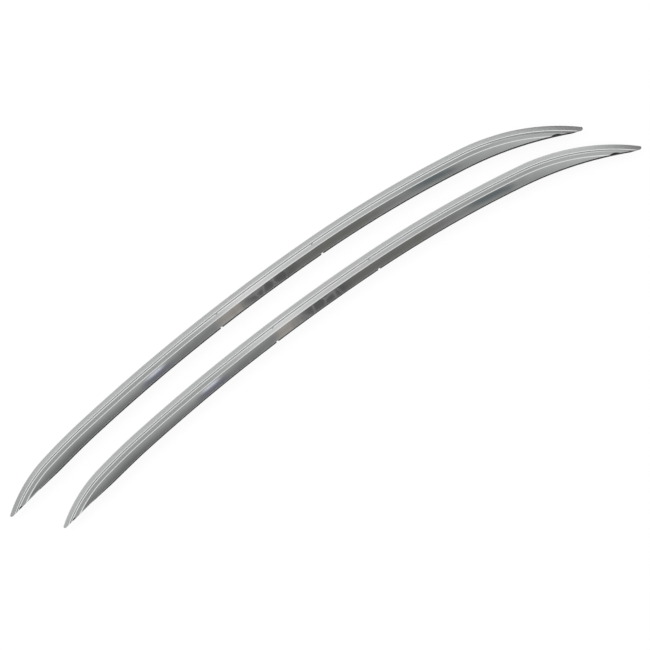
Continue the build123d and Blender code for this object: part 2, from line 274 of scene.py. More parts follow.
class Arch:
    """Points of the bent bar, with the crest at the origin."""

    def __init__(self, size, height):
        crest = Vector((0, 0, 0))
        shoulder_turn = size.front_shoulder_turn
        roof_start = arc_start(crest, 0, size.roof_radius, size.roof_turn)
        shoulder_start = arc_start(
            roof_start, size.roof_turn, size.rear_shoulder_radius, size.rear_shoulder_turn
        )
        bend_slope = size.roof_turn + size.rear_shoulder_turn
        self.slope = bend_slope + size.rear_bend_turn
        self.start = arc_start(shoulder_start, bend_slope, size.rear_bend_radius, size.rear_bend_turn)
        self.runs = (
            (size.rear_bend_radius, size.rear_bend_turn),
            (size.rear_shoulder_radius, size.rear_shoulder_turn),
            (size.roof_radius, size.roof_turn),
            (size.front_shoulder_radius, shoulder_turn),
            (size.front_bend_radius, size.front_bend_turn),
        )
        bend_start = arc_end(crest, 0, size.front_shoulder_radius, shoulder_turn)
        cut_turn = size.rear_cut_angle - size.roof_turn
        self.cut_start = arc_start(roof_start, size.roof_turn, size.rear_shoulder_radius, cut_turn)
        rear_turn = size.rear_nose_angle - bend_slope
        rear_foot = arc_start(shoulder_start, bend_slope, size.rear_bend_radius, rear_turn)
        rear_crown = rear_foot + height * outward(size.rear_nose_angle)
        self.rear_corner = crossing(self.cut_start, size.rear_cut_angle, rear_crown, size.rear_nose_angle)
        front_turn = size.front_nose_angle - shoulder_turn
        front_foot = arc_end(bend_start, -shoulder_turn, size.front_bend_radius, front_turn)
        front_crown = front_foot + height * outward(-size.front_nose_angle)
        wedge = size.front_nose_angle - size.front_cut_angle
        crown_rise = (front_crown - bend_start).dot(outward(-size.front_nose_angle))
        cut_radius = (crown_rise - size.front_run * sin(wedge)) / (cos(wedge) - cos(front_turn))
        front_cut_turn = size.front_cut_angle - shoulder_turn
        self.cut_runs = (
            (size.rear_shoulder_radius, cut_turn),
            (size.roof_radius, size.roof_turn),
            (size.front_shoulder_radius, shoulder_turn),
            (cut_radius, front_cut_turn),
        )
        cut_end = arc_end(bend_start, -shoulder_turn, cut_radius, front_cut_turn)
        self.front_corner = cut_end + size.front_run * heading(-size.front_cut_angle)
        self.rear_cut_slope = size.rear_cut_angle
        self.rear_run = (self.cut_start - self.rear_corner).length
        self.front_run = size.front_run
        self.rear_tangent = size.rear_nose_radius / tan((size.rear_nose_angle - size.rear_cut_angle) / 2)
        self.front_tangent = size.front_nose_radius / tan(wedge / 2)

    def foot_length(self):
        """Length of the foot line between the roundings of the noses."""
        curved = sum(radius * turn for radius, turn in self.cut_runs)
        return self.rear_run + self.front_run + curved - self.rear_tangent - self.front_tangent

    def station(self, distance):
        """Point and slope on the foot line at a distance from the rear nose."""
        left = distance + self.rear_tangent
        slope = self.rear_cut_slope
        if left < self.rear_run:
            return self.rear_corner + left * heading(slope), slope
        point, left = self.cut_start, left - self.rear_run
        for radius, turn in self.cut_runs:
            part = min(turn, left / radius)
            point, slope = arc_end(point, slope, radius, part), slope - part
            left -= part * radius
        return point + left * heading(slope), slope

    def locate(self, point):
        """Distance along the bent bar, and height over its foot, of a point."""
        start, slope, along = self.start, self.slope, 0.0
        last = len(self.runs) - 1
        for i, (radius, turn) in enumerate(self.runs):
            arm = point - (start - radius * outward(slope))
            here = atan2(-arm.x, arm.y)
            if here >= slope - turn or i == last:
                return along + radius * (slope - here), sqrt(arm.x**2 + arm.y**2) - radius
            start = arc_end(start, slope, radius, turn)
            slope -= turn
            along += radius * turn

    def slope_at(self, along):
        """Slope of the bent bar at a distance along it."""
        slope = self.slope
        for radius, turn in self.runs:
            part = min(turn, along / radius)
            slope -= part
            along -= part * radius
        return slope


# Meshes


def mesh_object(name, mesh):
    """An object at the origin for a mesh."""
    made = bpy.data.objects.new(name, mesh)
    bpy.context.scene.collection.objects.link(made)
    return made


def object_from(bm, name):
    """An object at the origin from a bmesh, which is freed."""
    mesh = bpy.data.meshes.new(name)
    bm.to_mesh(mesh)
    bm.free()
    return mesh_object(name, mesh)


def only(kind, items):
    """Vertices or edges alone, among the items that an operator gives back."""
    return [item for item in items if isinstance(item, kind)]


def spin_on(bm, tip, centre, turn, facet, axis=(0, 0, 1)):
    """Carries a vertex round a centre, and returns it at the far end."""
    made = bmesh.ops.spin(
        bm, geom=[tip], cent=centre, axis=axis, angle=turn, steps=ceil(abs(turn) / facet), use_merge=False
    )
    return only(BMVert, made["geom_last"])[0]


def line_on(bm, tip, point):
    """Carries a vertex along a straight line, and returns it at the far end."""
    far = bm.verts.new(point)
    bm.edges.new((tip, far))
    return far


def close_outline(bm, tip, first):
    """Closes a flat outline and fills it."""
    bm.edges.new((tip, first))
    bmesh.ops.contextual_create(bm, geom=list(bm.edges))


def soften(bm, points, run):
    """Rounds the corners of a flat outline that stand at points."""
    corners = [v for v in bm.verts if any((v.co - point).length < SAME for point in points)]
    bmesh.ops.bevel(
        bm, geom=corners, offset=run, offset_type="OFFSET",
        segments=4, profile=0.5, affect="VERTICES", material=-1,
    )


def crown_touch(size):
    """Angle from the width at which the crown's rounding meets the band that rises from the upper lip."""
    lip = Vector((size.upper_lip_half_width, size.upper_lip_height - size.height + size.crown_radius))
    return atan2(lip.y, lip.x) + acos(size.crown_radius / lip.length)


def flank_points(size):
    """Half widths and heights of one side of the outline, from foot to crown band."""
    half = size.width / 2
    low = Vector((size.lower_mouth_half_width, size.lower_mouth_height))
    high = Vector((size.upper_mouth_half_width, size.upper_mouth_height))
    run = (high - low).normalized()
    into = size.groove_depth * Vector((-run.y, run.x))
    return [
        (half, -size.stock),
        (half, size.crease_height),
        (size.lower_lip_half_width, size.lower_lip_height),
        tuple(low),
        tuple(low + into),
        tuple(high + into),
        tuple(high),
        (size.upper_lip_half_width, size.upper_lip_height),
    ]


def chamber_points(size):
    """Half widths and heights of the hollow, from its inner foot corner to its flat top."""
    half = size.width / 2
    touch = crown_touch(size)
    wall = size.skin + size.groove_depth
    lip = Vector((size.upper_lip_half_width, size.upper_lip_height))
    crown_middle = Vector((0, size.height - size.crown_radius))
    crown = crown_middle + size.crown_radius * Vector((cos(touch), sin(touch)))
    crease = Vector((half, size.crease_height))
    slant = (lip - crease).normalized()
    inner = half - wall
    slant_point = crease + wall * Vector((-slant.y, slant.x))
    crease_in = slant_point + slant * ((inner - slant_point.x) / slant.x)
    band = (crown - lip).normalized()
    band_point = lip + wall * Vector((-band.y, band.x))
    lip_in = slant_point + slant * ((band_point - slant_point).cross(band) / slant.cross(band))
    top = crown.y - wall
    top_in = band_point + band * ((top - band_point.y) / band.y)
    box_half = size.channel_width / 2 + size.channel_wall
    box_top = size.foot_thickness + size.channel_height + size.channel_wall
    return [
        (box_half, box_top),
        (box_half, size.foot_thickness),
        (inner, size.foot_thickness),
        tuple(crease_in),
        tuple(lip_in),
        tuple(top_in),
    ]


def mirrored(points):
    """Points over the middle, in the order that carries on round."""
    return [(-x, y) for x, y in reversed(points)]


def bar_section(bm, arch, size):
    """Outline of the bar and of its hollow, in the plane of its rear end."""

    def place(x, y):
        return arch.start + y * outward(arch.slope) + Vector((0, 0, size.width / 2 - x))

    def both(*points):
        return [place(side * x, y) for x, y in points for side in (1, -1)]

    half_slot, half_channel = size.slot_width / 2, size.channel_width / 2
    slot = [
        (half_channel, size.foot_thickness + size.channel_height),
        (half_channel, size.foot_thickness),
        (half_slot, size.foot_thickness),
        (half_slot, -size.stock),
    ]
    flank = flank_points(size)
    radius, touch = size.crown_radius, crown_touch(size)
    crown_middle = size.height - radius
    first = tip = bm.verts.new(place(*slot[0]))
    for point in slot[1:] + flank:
        tip = line_on(bm, tip, place(*point))
    tip = line_on(bm, tip, place(radius * cos(touch), crown_middle + radius * sin(touch)))
    tip = spin_on(bm, tip, place(0, crown_middle), pi - 2 * touch, CROWN_FACET, heading(arch.slope))
    for point in mirrored(slot + flank):
        tip = line_on(bm, tip, place(*point))
    close_outline(bm, tip, first)
    _, crease, lower_lip, lower_mouth, _, _, upper_mouth, upper_lip = flank
    soften(bm, both(crease), size.crease_bevel)
    soften(bm, both(lower_lip, upper_lip), size.lip_bevel)
    soften(bm, both(lower_mouth, upper_mouth), size.mouth_bevel)
    hollow = chamber_points(size)
    bm.faces.new([bm.verts.new(place(*point)) for point in hollow + mirrored(hollow)])
    bmesh.ops.delete(bm, geom=list(bm.faces), context="FACES_ONLY")


def swept_bar(arch, size):
    """The bent bar before its ends are cut."""
    bm = bmesh.new()
    bar_section(bm, arch, size)
    first = list(bm.edges)
    ring = list(bm.verts) + first
    start, slope = arch.start, arch.slope
    for radius, turn in arch.runs:
        ring = bmesh.ops.spin(
            bm, geom=ring, cent=start - radius * outward(slope), axis=(0, 0, 1),
            angle=-turn, steps=ceil(turn / SWEEP_FACET), use_merge=False,
        )["geom_last"]
        start, slope = arc_end(start, slope, radius, turn), slope - turn
    for ends in (first, only(BMEdge, ring)):
        bmesh.ops.triangle_fill(bm, edges=ends, use_beauty=True)
    bmesh.ops.recalc_face_normals(bm, faces=bm.faces)
    return object_from(bm, "bent_bar")


def trim_block(arch, size, arch_size):
    """Block over the roof line, with a rounded nose at each end."""
    bm = bmesh.new()
    below = Vector((0, 0, -size.width))
    rear_slope, front_slope = arch_size.rear_nose_angle, arch_size.front_nose_angle
    rear, front = arch.rear_corner + below, arch.front_corner + below
    first = tip = bm.verts.new(rear + arch.rear_tangent * heading(rear_slope))
    centre = tip.co - arch_size.rear_nose_radius * outward(rear_slope)
    tip = spin_on(bm, tip, centre, pi - rear_slope + arch.rear_cut_slope, NOSE_FACET)
    start, slope = arch.cut_start + below, arch.rear_cut_slope
    tip = line_on(bm, tip, start)
    for radius, turn in arch.cut_runs:
        tip = spin_on(bm, tip, start - radius * outward(slope), -turn, CUT_FACET)
        start, slope = arc_end(start, slope, radius, turn), slope - turn
    tip = line_on(bm, tip, front - arch.front_tangent * heading(slope))
    centre = tip.co + arch_size.front_nose_radius * outward(slope)
    tip = spin_on(bm, tip, centre, pi - front_slope - slope, NOSE_FACET)
    reach = 8 * size.height
    tip = line_on(bm, tip, front - reach * heading(-front_slope))
    tip = line_on(bm, tip, rear + reach * heading(rear_slope))
    close_outline(bm, tip, first)
    raised = bmesh.ops.extrude_face_region(bm, geom=list(bm.faces))["geom"]
    bmesh.ops.translate(bm, vec=(0, 0, 3 * size.width), verts=only(BMVert, raised))
    bmesh.ops.recalc_face_normals(bm, faces=bm.faces)
    return object_from(bm, "trim_block")


def notch_tools(arch, size):
    """Blocks for the locating notches and rollers for the drain notches."""
    bm = bmesh.new()
    half = size.width / 2
    height = (size.lower_lip_height + size.lower_mouth_height) / 2
    block = Matrix.Diagonal((size.notch_length, size.notch_height, size.width, 1))
    for distance in (size.rear_notch, size.front_notch):
        point, slope = arch.station(distance)
        for side in (1, -1):
            middle = point + height * outward(slope)
            middle += Vector((0, 0, half + side * (size.lower_mouth_half_width + half)))
            turned = Matrix.Translation(middle) @ Matrix.Rotation(slope, 4, "Z")
            bmesh.ops.create_cube(bm, size=1, matrix=turned @ block)
    drains = ((size.rear_drain, 1.0), (arch.foot_length() - size.front_drain, size.front_drain_stretch))
    for distance, stretch in drains:
        point, slope = arch.station(distance)
        middle = point + (size.drain_depth - size.drain_radius) * outward(slope) + Vector((0, 0, half))
        turned = Matrix.Translation(middle) @ Matrix.Rotation(slope, 4, "Z")
        bmesh.ops.create_cone(
            bm, cap_ends=True, segments=64, radius1=size.drain_radius, radius2=size.drain_radius,
            depth=4 * size.width, matrix=turned @ Matrix.Diagonal((stretch, 1, 1, 1)),
        )
    return object_from(bm, "notch_tools")


def carve(body, tool, operation):
    """Applies a boolean with a tool, which is then removed."""
    step = body.modifiers.new("carve", "BOOLEAN")
    step.object = tool
    step.operation = operation
    step.solver = "EXACT"
    bpy.context.view_layer.update()
    graph = bpy.context.evaluated_depsgraph_get()
    mesh = bpy.data.meshes.new_from_object(body.evaluated_get(graph))
    body.modifiers.clear()
    bm = bmesh.new()
    bm.from_mesh(mesh)
    bmesh.ops.remove_doubles(bm, verts=bm.verts, dist=WELD)
    bmesh.ops.dissolve_degenerate(bm, dist=SLIVER, edges=bm.edges)
    bm.to_mesh(mesh)
    bm.free()
    body.data = mesh
    bpy.data.objects.remove(tool)


def on_foot_edge(edge, size):
    """Whether an edge runs between a flank and the cut foot."""
    if len(edge.link_faces) != 2:
        return False
    upright, level = sorted(abs(face.normal.z) for face in edge.link_faces)
    height = (edge.verts[0].co.z + edge.verts[1].co.z) / 2
    on_flank = min(height, size.width - height) < SLIVER
    return level > LEVEL and upright < UPRIGHT and on_flank and edge.calc_face_angle() > FOOT_FOLD


def ease_foot(body, size):
    """Rounds the long edges between the flanks and the cut foot."""
    bm = bmesh.new()
    bm.from_mesh(body.data)
    bm.normal_update()
    long_edges = [edge for edge in bm.edges if on_foot_edge(edge, size)]
    bmesh.ops.bevel(
        bm, geom=long_edges, offset=size.foot_bevel, offset_type="OFFSET",
        segments=4, profile=0.5, affect="EDGES", clamp_overlap=False, material=-1,
    )
    bm.to_mesh(body.data)
    bm.free()


def shade_softly(mesh):
    """Smooth shading up to the sharp edges."""
    mesh.shade_smooth()
    mesh.set_sharp_from_angle(angle=SHARP_TURN)


def dress_bar(mesh, arch):
    """Smooth shading, the map that follows the bar, and the sawn faces of the foot."""
    shade_softly(mesh)
    run = mesh.uv_layers.new(name="bar_run")
    places = [arch.locate(vertex.co) for vertex in mesh.vertices]
    for corner in mesh.loops:
        run.uv[corner.index].vector = places[corner.vertex_index]
    for face in mesh.polygons:
        along = arch.locate(face.center)[0]
        face.material_index = int(face.normal.dot(outward(arch.slope_at(along))) < DOWNWARD)
        face.use_smooth = abs(face.normal.z) < FLAT


def thinned_seal(node, slope, way, run, size):
    """Copy of a seal whose outer end runs out thin against the foot."""
    bm = bmesh.new()
    bm.from_mesh(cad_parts[node].data)
    bmesh.ops.remove_doubles(bm, verts=bm.verts, dist=SAME)
    axis, up = way * heading(slope), outward(slope)
    thin_start = max(v.co.dot(axis) for v in bm.verts) - run
    bmesh.ops.bisect_plane(
        bm, geom=[*bm.verts, *bm.edges, *bm.faces], plane_co=thin_start * axis, plane_no=axis, dist=SAME
    )
    outer = [v for v in bm.verts if v.co.dot(axis) > thin_start - SAME]
    middle = sum(f(v.co.dot(up) for v in outer) for f in (min, max)) / 2
    for vertex in outer:
        if vertex.co.dot(up) < middle:
            share = (vertex.co.dot(axis) - thin_start) / run
            bmesh.ops.translate(bm, verts=[vertex], vec=share * (size.seal_thickness - size.seal_edge) * up)
    made = object_from(bm, node.replace("foot_seal", "thinned_seal"))
    shade_softly(made.data)
    return made


# Nodes of materials


def feed(entry, value):
    """Gives an input a value, a socket, a colour or a number."""
    value = value.socket if isinstance(value, Value) else value
    if isinstance(value, bpy.types.NodeSocket):
        entry.id_data.links.new(value, entry)
    else:
        entry.default_value = (*value, 1) if entry.type == "RGBA" else value


def feed_all(node, **values):
    """Gives inputs of a node what is named for them."""
    for name, value in values.items():
        feed(node.inputs[name.replace("_", " ")], value)


def add_node(tree, kind, settings=None, **values):
    """A node with its settings, and with what is named for its inputs."""
    node = tree.nodes.new(kind)
    for name, value in (settings or {}).items():
        setattr(node, name, value)
    feed_all(node, **values)
    return node


class Value:
    """What a node puts out, for sums with numbers and with other values."""

    def __init__(self, socket):
        self.socket = socket
        self.tree = socket.id_data

    def result(self, operation, other=0.0):
        """Value that an operation of the math node makes of this one and another."""
        node = add_node(self.tree, "ShaderNodeMath", {"operation": operation})
        feed(node.inputs[0], self)
        feed(node.inputs[1], other)
        return Value(node.outputs[0])

    def __add__(self, other):
        return self.result("ADD", other)

    def __sub__(self, other):
        return self.result("SUBTRACT", other)

    def __mul__(self, other):
        return self.result("MULTIPLY", other)

    def __truediv__(self, other):
        return self.result("DIVIDE", other)

    def __abs__(self):
        return self.result("ABSOLUTE")


def axes(vector):
    """X, Y and Z of a vector."""
    parts = add_node(vector.id_data, "ShaderNodeSeparateXYZ", Vector=vector)
    return [Value(part) for part in parts.outputs]


def vector_of(x, y, z):
    """Vector from three values."""
    return add_node(x.tree, "ShaderNodeCombineXYZ", X=x, Y=y, Z=z).outputs[0]


def noise(place, **values):
    """Soft cloud over a place."""
    return Value(add_node(place.id_data, "ShaderNodeTexNoise", Vector=place, **values).outputs["Fac"])


def cells(place, feature, output, **values):
    """Small cells over a place."""
    node = add_node(place.id_data, "ShaderNodeTexVoronoi", {"feature": feature}, Vector=place, **values)
    return Value(node.outputs[output])


def ramp(value, *stops):
    """Colours or greys at stops along a value."""
    node = add_node(value.tree, "ShaderNodeValToRGB", Fac=value)
    elements = node.color_ramp.elements
    while len(elements) < len(stops):
        elements.new(0.5)
    for element, (position, shade) in zip(elements, stops):
        element.position = position
        element.color = (*((shade,) * 3 if isinstance(shade, float) else shade), 1)
    return Value(node.outputs[0])


def mix(share, first, second, blend="MIX"):
    """Colour between two colours."""
    tree = next(given.tree for given in (share, first) if isinstance(given, Value))
    node = add_node(tree, "ShaderNodeMix", {"data_type": "RGBA", "blend_type": blend})
    for i, given in ((0, share), (6, first), (7, second)):
        feed(node.inputs[i], given)
    return Value(node.outputs[2])


def product(first, second):
    """Colour multiplied by another colour or by a value."""
    return mix(1.0, first, second, "MULTIPLY")


def span_share(value, start, end):
    """Share from nought to one of the way from a start to an end."""
    smooth = {"interpolation_type": "SMOOTHSTEP"}
    node = add_node(value.tree, "ShaderNodeMapRange", smooth, Value=value, From_Min=start, From_Max=end)
    return Value(node.outputs[0])


def near_share(value, middle, far, close):
    """One beside a middle value, and nought farther off than a distance."""
    return span_share(abs(value - middle), far, close)


def object_place(tree):
    """Object coordinates."""
    return add_node(tree, "ShaderNodeTexCoord").outputs["Object"]


def empty_tree(owner):
    """Node tree of a material or of a world, with nothing in it."""
    owner.use_nodes = True
    owner.node_tree.nodes.clear()
    return owner.node_tree


def show(tree, shader, output="ShaderNodeOutputMaterial"):
    """Leads a shader to the output."""
    add_node(tree, output, Surface=shader.outputs[0])


# Shared effects


def shade_group(name, number, default, outputs):
    """A node group that takes a vector and a number, with what it is given and what it puts out."""
    group = bpy.data.node_groups.new(name, "ShaderNodeTree")
    group.interface.new_socket("Vector", in_out="INPUT", socket_type="NodeSocketVector")
    made = group.interface.new_socket(number, in_out="INPUT", socket_type="NodeSocketFloat")
    made.default_value = default
    for socket in outputs:
        group.interface.new_socket(socket, in_out="OUTPUT", socket_type="NodeSocketFloat")
    given = group.nodes.new("NodeGroupInput").outputs
    return group, given["Vector"], given[number], group.nodes.new("NodeGroupOutput")


def drawn_lines_group(name):
    """Fine lines that run along a drawn or brushed metal, with soft patches of handling."""
    group, place, width, output = shade_group(name, "Line Width", 0.0006, ("Lines", "Patches"))
    along, up, across = axes(place)
    lines = noise(vector_of(along * 2.5, up / width, across / width), Scale=1.0, Detail=3.0, Roughness=0.6)
    feed_all(output, Lines=lines, Patches=noise(place, Scale=9.0, Detail=4.0, Roughness=0.55))
    return group


def moulded_grain_group(name):
    """Fine pitted grain of moulded rubber and plastic, with a little dust."""
    group, place, scale, output = shade_group(name, "Grain Scale", 900.0, ("Grain", "Dust"))
    grain = cells(place, "SMOOTH_F1", "Distance", Scale=scale, Smoothness=0.6)
    cloud = noise(place, Scale=24.0, Detail=5.0, Roughness=0.62)
    feed_all(output, Grain=grain, Dust=ramp(cloud, (0.45, 0.0), (0.78, 1.0)))
    return group


def effect(tree, name, make, **values):
    """What a shared node group puts out. The group is made the first time that it is asked for."""
    group = bpy.data.node_groups.get(name) or make(name)
    node = add_node(tree, "ShaderNodeGroup", {"node_tree": group}, **values)
    return [Value(output) for output in node.outputs]


def drawn_lines(place, width):
    """Fine lines and soft patches of handling on a metal."""
    return effect(place.id_data, "Drawn Lines", drawn_lines_group, Vector=place, Line_Width=width)


# Finishes


def new_material(name):
    """A material with a Principled shader, its tree and that shader."""
    made = bpy.data.materials.new(name)
    tree = empty_tree(made)
    shader = add_node(tree, "ShaderNodeBsdfPrincipled")
    show(tree, shader)
    return made, tree, shader


def bump_into(shader, height, distance, strength):
    """Bump from a height, in metres."""
    bump = add_node(height.tree, "ShaderNodeBump", Height=height, Distance=distance, Strength=strength)
    feed_all(shader, Normal=bump.outputs[0])


def bar_place(tree):
    """Distance along the bar, height over its foot and width, as one vector and as the height alone."""
    run = add_node(tree, "ShaderNodeUVMap", {"uv_map": "bar_run"})
    along, height, _ = axes(run.outputs[0])
    return vector_of(along, height, axes(object_place(tree))[2]), height


def bar_metal(size, finish):
    """Anodised aluminium: polished flanks, satin crown, rougher groove, fine drawn lines. Its colour holds
    painted light: painted highlights on the lips, and painted shade towards the foot, at the crown's top
    and in the groove.
    """
    made, tree, shader = new_material("anodised_aluminium")
    place, height = bar_place(tree)
    lines, patches = drawn_lines(place, width=0.0007)
    share = height / size.height
    crease = size.crease_height / size.height
    lower_lip, upper_lip = size.lower_lip_height / size.height, size.upper_lip_height / size.height
    low = (size.lower_mouth_height + size.mouth_bevel) / size.height
    high = (size.upper_mouth_height - size.mouth_bevel) / size.height
    edge = 0.008
    # Mask of the clamp groove: it gets a rougher finish, which is real, and the darker groove colour, which
    # is painted shade
    groove = ramp(share, (low - edge, 0.0), (low + edge, 1.0), (high - edge, 1.0), (high + edge, 0.0))
    # Painted light in the base colour, by height: the flanks darken towards the foot as painted shade, the
    # lips carry painted highlights, and the crown darkens towards its top as painted shade
    painted_light_tone = ramp(
        share,
        (0.0, 0.80), (crease - 0.03, 1.0), (crease + 0.02, 0.99), (crease + 0.07, 0.89),
        (lower_lip - 0.04, 0.87), (lower_lip + 0.01, 1.16), (upper_lip, 1.16), (upper_lip + 0.03, 0.97),
        (0.90, 0.90), (1.0, 0.82),
    )
    base = mix(groove, product(mix(patches, finish.aluminium, finish.handled), painted_light_tone), finish.groove)
    rough = ramp(
        share,
        (crease - 0.05, 0.015), (crease + 0.01, 0.13), (lower_lip - 0.02, 0.15), (lower_lip + 0.01, 0.12),
        (upper_lip, 0.12), (upper_lip + 0.03, 0.27), (1.0, 0.30),
    )
    vary = (lines - 0.5) * 0.9 + (patches - 0.5) * 0.7 + 1.0
    feed_all(shader, Base_Color=base, Roughness=rough * vary + groove * 0.25, Metallic=1.0)
    keen = ramp(share, (crease - 0.03, 0.0), (crease + 0.03, 1.0))
    bump_into(shader, lines * keen, distance=0.000006, strength=0.35)
    return made


def sawn_metal(finish):
    """Bare aluminium with saw marks, where the foot was cut along the roof line."""
    made, tree, shader = new_material("sawn_aluminium")
    place = object_place(tree)
    bands = {"wave_type": "BANDS", "bands_direction": "X"}
    wave = add_node(tree, "ShaderNodeTexWave", bands, Vector=place, Scale=260.0, Distortion=3.0, Detail=3.0)
    marks = Value(wave.outputs["Fac"])
    cloud = noise(place, Scale=60.0, Detail=5.0)
    base = mix(cloud, finish.sawn, [0.8 * part for part in finish.sawn])
    feed_all(shader, Base_Color=base, Roughness=ramp(marks, (0.0, 0.38), (1.0, 0.52)), Metallic=1.0)
    bump_into(shader, marks, distance=0.0001, strength=0.5)
    return made


def moulded_black(name, shade, grain_scale, rough, depth):
    """Black rubber or plastic with a moulded grain and a little dust."""
    made, tree, shader = new_material(name)
    place = object_place(tree)
    grain, dust = effect(tree, "Moulded Grain", moulded_grain_group, Vector=place, Grain_Scale=grain_scale)
    base = mix(dust * 0.6, shade, [min(1.0, 2.6 * part + 0.012) for part in shade])
    feed_all(shader, Base_Color=base, Roughness=ramp(grain, (0.0, rough - 0.10), (0.8, rough + 0.06)))
    bump_into(shader, grain, distance=depth, strength=0.6)
    return made


def plated_steel(name, shade, flake_scale, rough):
    """Steel with the mottle of a thin plating and fine drawn lines."""
    made, tree, shader = new_material(name)
    place = object_place(tree)
    mottle = cells(place, "F1", "Color", Scale=flake_scale)
    lines, _ = drawn_lines(place, width=0.0004)
    base = mix(ramp(mottle, (0.2, 0.0), (0.8, 1.0)), shade, [0.82 * part for part in shade])
    spread = ramp(lines, (0.25, rough - 0.08), (0.75, rough + 0.08))
    feed_all(shader, Base_Color=base, Roughness=spread, Metallic=1.0)
    bump_into(shader, lines, distance=0.00002, strength=0.3)
    return made


def finish_nodes(endings, material):
    """Gives the CAD nodes of both rails a material."""
    for side in SIDES:
        for ending in endings:
            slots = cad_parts[f"{side}_{ending}"].data.materials
            slots.clear()
            slots.append(material)


# Light, floor and the cards that the metal mirrors, after their colours

STREAK_GREY = (0.26, 0.26, 0.26)
BLUISH = (0.15, 0.172, 0.178)
VIOLET = (0.20, 0.20, 0.24)
GLINT = (0.80, 0.82, 0.93)
WINDOW_WHITE = (0.98, 0.98, 0.97)
WALL_END = (0.08, 0.08, 0.08)
STRIP_END = (0.22, 0.22, 0.22)
WHITE = (1, 1, 1)
FLOOR_WHITE = (0.96, 0.96, 0.96)

# Height of the walls' greys and length of the window's whites, in metres
GREYS_HEIGHT = 10.0
WINDOW_LENGTH = 4.0


def seen_plain(tree):
    """One for the rays of the camera, of mirrors and of clear things, or else nought."""
    rays = add_node(tree, "ShaderNodeLightPath").outputs
    seen = Value(rays["Is Camera Ray"]).result("MAXIMUM", rays["Is Glossy Ray"])
    return seen.result("MAXIMUM", rays["Is Transmission Ray"])


def either_shader(share, first, second):
    """Shader between two shaders."""
    node = add_node(share.tree, "ShaderNodeMixShader")
    for entry, given in zip(node.inputs, (share, first.outputs[0], second.outputs[0])):
        feed(entry, given)
    return node


def make_world(strength):
    """White all round to the eye, with a plain level of light."""
    world = bpy.data.worlds.new("white_room")
    bpy.context.scene.world = world
    tree = empty_tree(world)
    light = add_node(tree, "ShaderNodeBackground", Color=WHITE, Strength=strength)
    white = add_node(tree, "ShaderNodeBackground", Color=WHITE, Strength=1.0)
    show(tree, either_shader(seen_plain(tree), light, white), "ShaderNodeOutputWorld")


def make_floor(glow):
    """Pale floor that keeps a soft shadow."""
    bm = bmesh.new()
    bmesh.ops.create_grid(bm, x_segments=1, y_segments=1, size=20.0)
    floor = object_from(bm, "floor")
    made = bpy.data.materials.new("floor_white")
    tree = empty_tree(made)
    matt = add_node(tree, "ShaderNodeBsdfDiffuse", Color=FLOOR_WHITE)
    plain = add_node(tree, "ShaderNodeEmission", Color=WHITE, Strength=1.02)
    show(tree, either_shader(seen_plain(tree) * glow, matt, plain))
    floor.data.materials.append(made)


def flank_place(place, stage, arch):
    """Distance ahead of the crest and height over the foot where a flank mirrors a place to the camera."""
    shrink = 1 / (1 + stage.ceiling_height / stage.camera_height)
    shift = (stage.camera_x * (1 - shrink), stage.camera_y * (1 - shrink), 0)
    grow = (shrink, shrink, 1)
    fold = add_node(place.id_data, "ShaderNodeMapping", Vector=place, Location=shift, Scale=grow)
    x, y, _ = axes(fold.outputs[0])
    along = x - stage.first_crest_x
    halfway = y - stage.halfway_y + along * along * stage.halfway_bow
    second = halfway.result("LESS_THAN", 0.0)
    along = along - second * stage.stagger
    rear_curve, front_curve = 0.5 / arch.roof_radius, 0.5 / arch.front_shoulder_radius
    curve = along.result("GREATER_THAN", 0.0) * (front_curve - rear_curve) + rear_curve
    bend = (along - stage.bend_start).result("MAXIMUM", 0.0)
    first_lean, second_lean = lean(arch, "left"), lean(arch, "right")
    leaning = (second * (first_lean - second_lean) - first_lean) * along
    rise = y - stage.first_crest_y + second * stage.spacing
    return along, rise + along * along * curve + bend * bend * stage.bend_bow + leaning


def ceiling_pattern(place, stage, arch):
    """Dark ceiling with soft patches, which stand where both flanks mirror them to the camera."""
    behind_crest, whole_run = 0.9, 1.6
    along, rise = flank_place(place, stage, arch)
    cloud = noise(place, Scale=14.0, Detail=5.0, Roughness=0.65)
    warp = (cloud - 0.5) * 0.035
    patches = ramp(
        (along + warp + behind_crest) / whole_run,
        (0.05, 0.26), (0.105, 0.205), (0.18, 0.25), (0.24, 0.26), (0.32, 0.21), (0.376, 0.21),
        (0.392, (0.31, 0.288, 0.268)), (0.420, (0.30, 0.276, 0.257)), (0.431, 0.165),
        (0.444, 0.105), (0.503, 0.092), (0.525, (0.145, 0.145, 0.137)), (0.634, (0.15, 0.148, 0.14)),
        (0.70, 0.215), (0.78, 0.22), (0.80, 0.30), (0.846, 0.37), (0.90, 0.43),
    )
    rear = span_share(along, -0.2, -0.5)
    by_foot = (rear * -0.68 + 0.40) * span_share(along, 0.42, 0.30)
    level = span_share(rise, 0.009, 0.017) * (rear * 0.45) + span_share(rise, 0.009, 0.002) * by_foot
    ceiling = product(patches, level + cloud * 0.36 + 1.04)
    web = cells(place, "DISTANCE_TO_EDGE", "Distance", Scale=15.0)
    streaks = span_share(web, 0.11, 0.03) * 0.85 * near_share(along, -0.170, 0.095, 0.045)
    ceiling = mix(streaks, ceiling, STREAK_GREY)
    slant = along + (rise + warp) * 2.0
    shade = near_share(slant, 0.338, 0.072, 0.020) * span_share(rise, 0.003, 0.012)
    ceiling = mix(shade, ceiling, BLUISH)
    tinge = near_share(along, -0.474, 0.060, 0.020) * near_share(rise, 0.007, 0.007, 0.003)
    ceiling = mix(tinge, ceiling, VIOLET)
    glint = near_share(along, -0.476, 0.038, 0.006) * near_share(rise, 0.0146, 0.0042, 0.0008)
    return mix(glint, ceiling, GLINT)


def round_pattern(place):
    """Grey walls on the other sides, with a dark band under a paler one."""
    return ramp(
        axes(place)[2] / GREYS_HEIGHT,
        (0.0, 0.52), (0.09, 0.44), (0.16, 0.20), (0.22, 0.16), (0.30, 0.46), (0.52, 0.62), (0.80, 0.30),
    )


